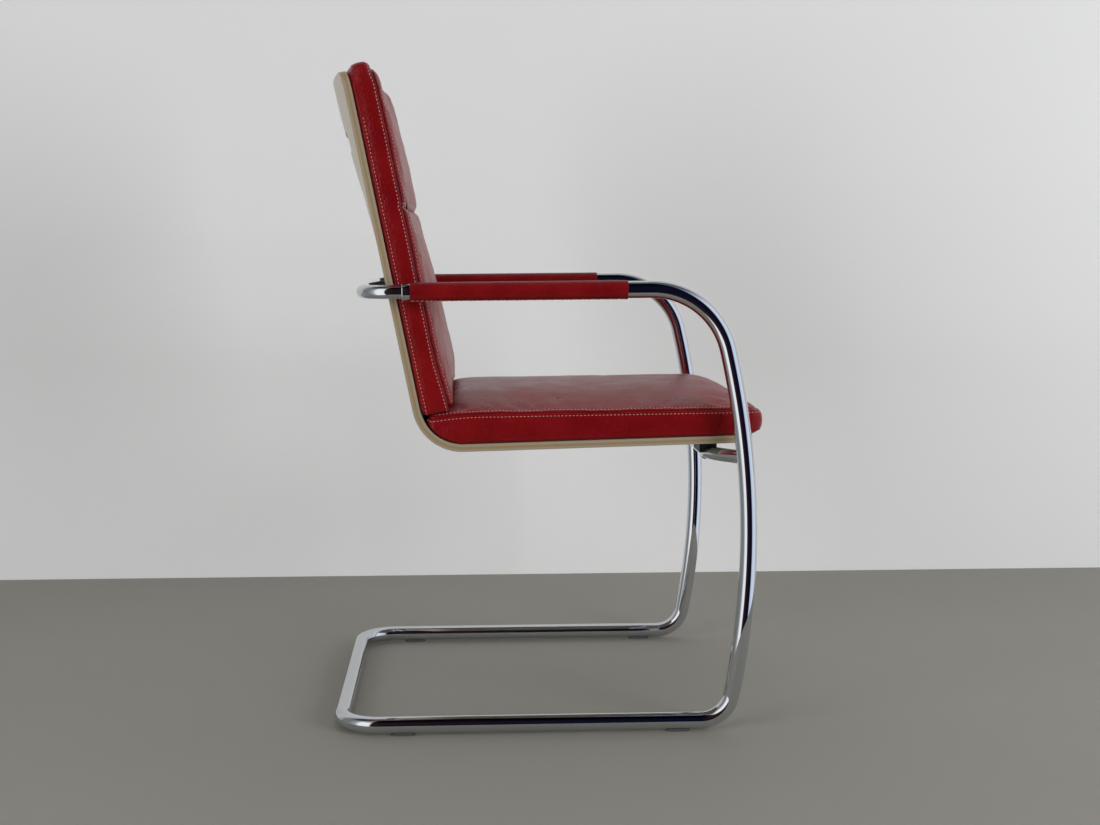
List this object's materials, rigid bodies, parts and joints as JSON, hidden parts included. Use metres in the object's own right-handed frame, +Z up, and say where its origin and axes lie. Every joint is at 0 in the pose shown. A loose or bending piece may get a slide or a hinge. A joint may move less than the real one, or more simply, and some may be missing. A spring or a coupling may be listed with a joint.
{
  "type": "cantilever lounge chair",
  "caption": "Cantilever armchair: bent chromed tube frame, moulded plywood shell, leather seat and back pads, and leather-sleeved arms.",
  "frame": {"origin": "on the floor, under the middle of the chair's outline", "axes": "+Z up, the sitter faces -Y, +X towards the sitter's left"},
  "size_m": [0.5672, 0.6421, 0.9863],
  "materials": {
    "chrome": "polished",
    "screw_steel": "polished",
    "insert_brass": "turned",
    "plywood": "clear lacquer, open layered edges",
    "pad_leather": "semi-gloss, fine grain",
    "arm_leather": "semi-gloss, fine grain",
    "black_plastic": "moulded",
    "glide_plastic": "moulded",
    "pad_board": "raw",
    "pad_tape": "woven"
  },
  "bodies": {
    "root": {"frame_tube": "chrome", "seat_brace": "chrome", "rear_bow": "chrome", "collar_left": "chrome", "collar_right": "chrome", "brace_saddle_left": "black_plastic", "brace_saddle_right": "black_plastic", "bow_spacer_left": "black_plastic", "bow_spacer_right": "black_plastic", "brace_screws": "screw_steel", "bow_screws": "screw_steel", "seat_inserts": "insert_brass", "back_inserts": "insert_brass", "seat_shell": "plywood", "seat_pad_tape": "pad_tape", "back_pad_tape": "pad_tape", "seat_pad_board": "pad_board", "back_pad_board": "pad_board", "seat_cushion": "pad_leather", "back_cushion": "pad_leather", "arm_sleeve_left": "arm_leather", "arm_sleeve_right": "arm_leather", "glide_front_left": "glide_plastic", "glide_front_right": "glide_plastic", "glide_rear_left": "glide_plastic", "glide_rear_right": "glide_plastic"}
  },
  "joints": []
}
